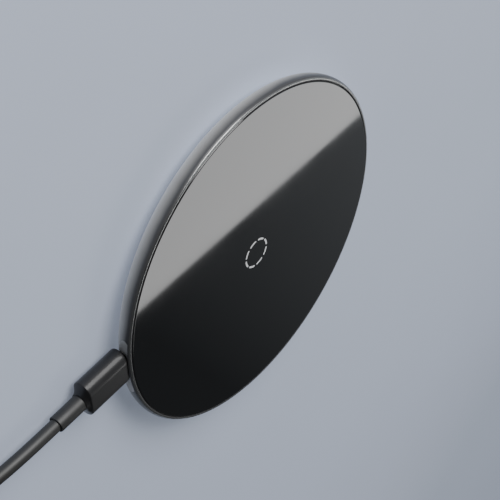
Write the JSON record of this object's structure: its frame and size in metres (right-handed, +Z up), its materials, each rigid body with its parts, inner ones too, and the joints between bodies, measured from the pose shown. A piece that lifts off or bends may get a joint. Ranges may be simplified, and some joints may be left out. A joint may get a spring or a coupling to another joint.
{
  "type": "wireless charging pad",
  "caption": "Slim round wireless charging pad with a black glass top, a curved metal rim, a silicone foot ring and a plug-in USB-C supply lead stored in a coil.",
  "frame": {"origin": "on the surface the pad stands on, under the centre of the pad", "axes": "+Z up through the glass, +Y out of the supply port, +X to the right seen from above with the port at the back"},
  "size_m": [0.1029, 0.2411, 0.0077],
  "materials": {
    "panel_glass": "black-backed polished glass",
    "mark_ink": "printed ink",
    "adhesive": "double-sided tape",
    "rim_metal": "satin anodised, gunmetal",
    "cover_plastic": "fine matt texture",
    "foot_rubber": "matt silicone",
    "screw_steel": "zinc plated",
    "carrier_plastic": "natural",
    "ferrite": "sintered, matt",
    "tape": "translucent tape",
    "litz_copper": "enamelled copper strand",
    "cushion_foam": "closed-cell foam",
    "thermistor_bead": "epoxy bead",
    "board_laminate": "solder mask",
    "connector_steel": "nickel plated",
    "connector_plastic": "moulded",
    "contact_gold": "gold flash",
    "chip_epoxy": "moulded epoxy",
    "ceramic": "fired ceramic",
    "inductor_body": "pressed powder",
    "plug_rubber": "semi-matt moulding",
    "cable_jacket": "smooth semi-gloss jacket",
    "tie_fabric": "woven hook-and-loop",
    "insert_plastic": "moulded"
  },
  "bodies": {
    "pad": {"glass_panel": "panel_glass", "charge_mark": "mark_ink", "panel_adhesive": "adhesive", "rim_frame": "rim_metal", "bottom_cover": "cover_plastic", "foot_ring": "foot_rubber", "cover_screws": "screw_steel", "coil_carrier": "carrier_plastic", "ferrite_disc": "ferrite", "coil_adhesive": "tape", "charging_coil": "litz_copper", "coil_leads": "litz_copper", "coil_cushion": "cushion_foam", "thermistor": "thermistor_bead", "circuit_board": "board_laminate", "board_screws": "screw_steel", "port_shell": "connector_steel", "port_tongue": "connector_plastic", "port_contacts": "contact_gold", "charge_controller": "chip_epoxy", "bridge_transistors": "chip_epoxy", "resonant_capacitors": "ceramic", "input_capacitors": "ceramic", "power_inductor": "inductor_body", "sense_resistor": "chip_epoxy", "small_passives": "ceramic"},
    "supply_lead": {"plug_shell": "connector_steel", "plug_core": "connector_plastic", "plug_contacts": "contact_gold", "plug_body": "plug_rubber", "plug_neck": "plug_rubber", "lead_cable": "cable_jacket", "cable_coil": "cable_jacket", "tail_cable": "cable_jacket", "cable_tie": "tie_fabric", "supply_shell": "connector_steel", "supply_insert": "insert_plastic", "supply_contacts": "contact_gold", "supply_body": "plug_rubber", "supply_neck": "plug_rubber"}
  },
  "joints": [
    {"name": "plug_pull", "type": "slide", "parent": "pad", "child": "supply_lead", "axis": [0, 1, 0], "range_m": [0, 0.009]}
  ]
}
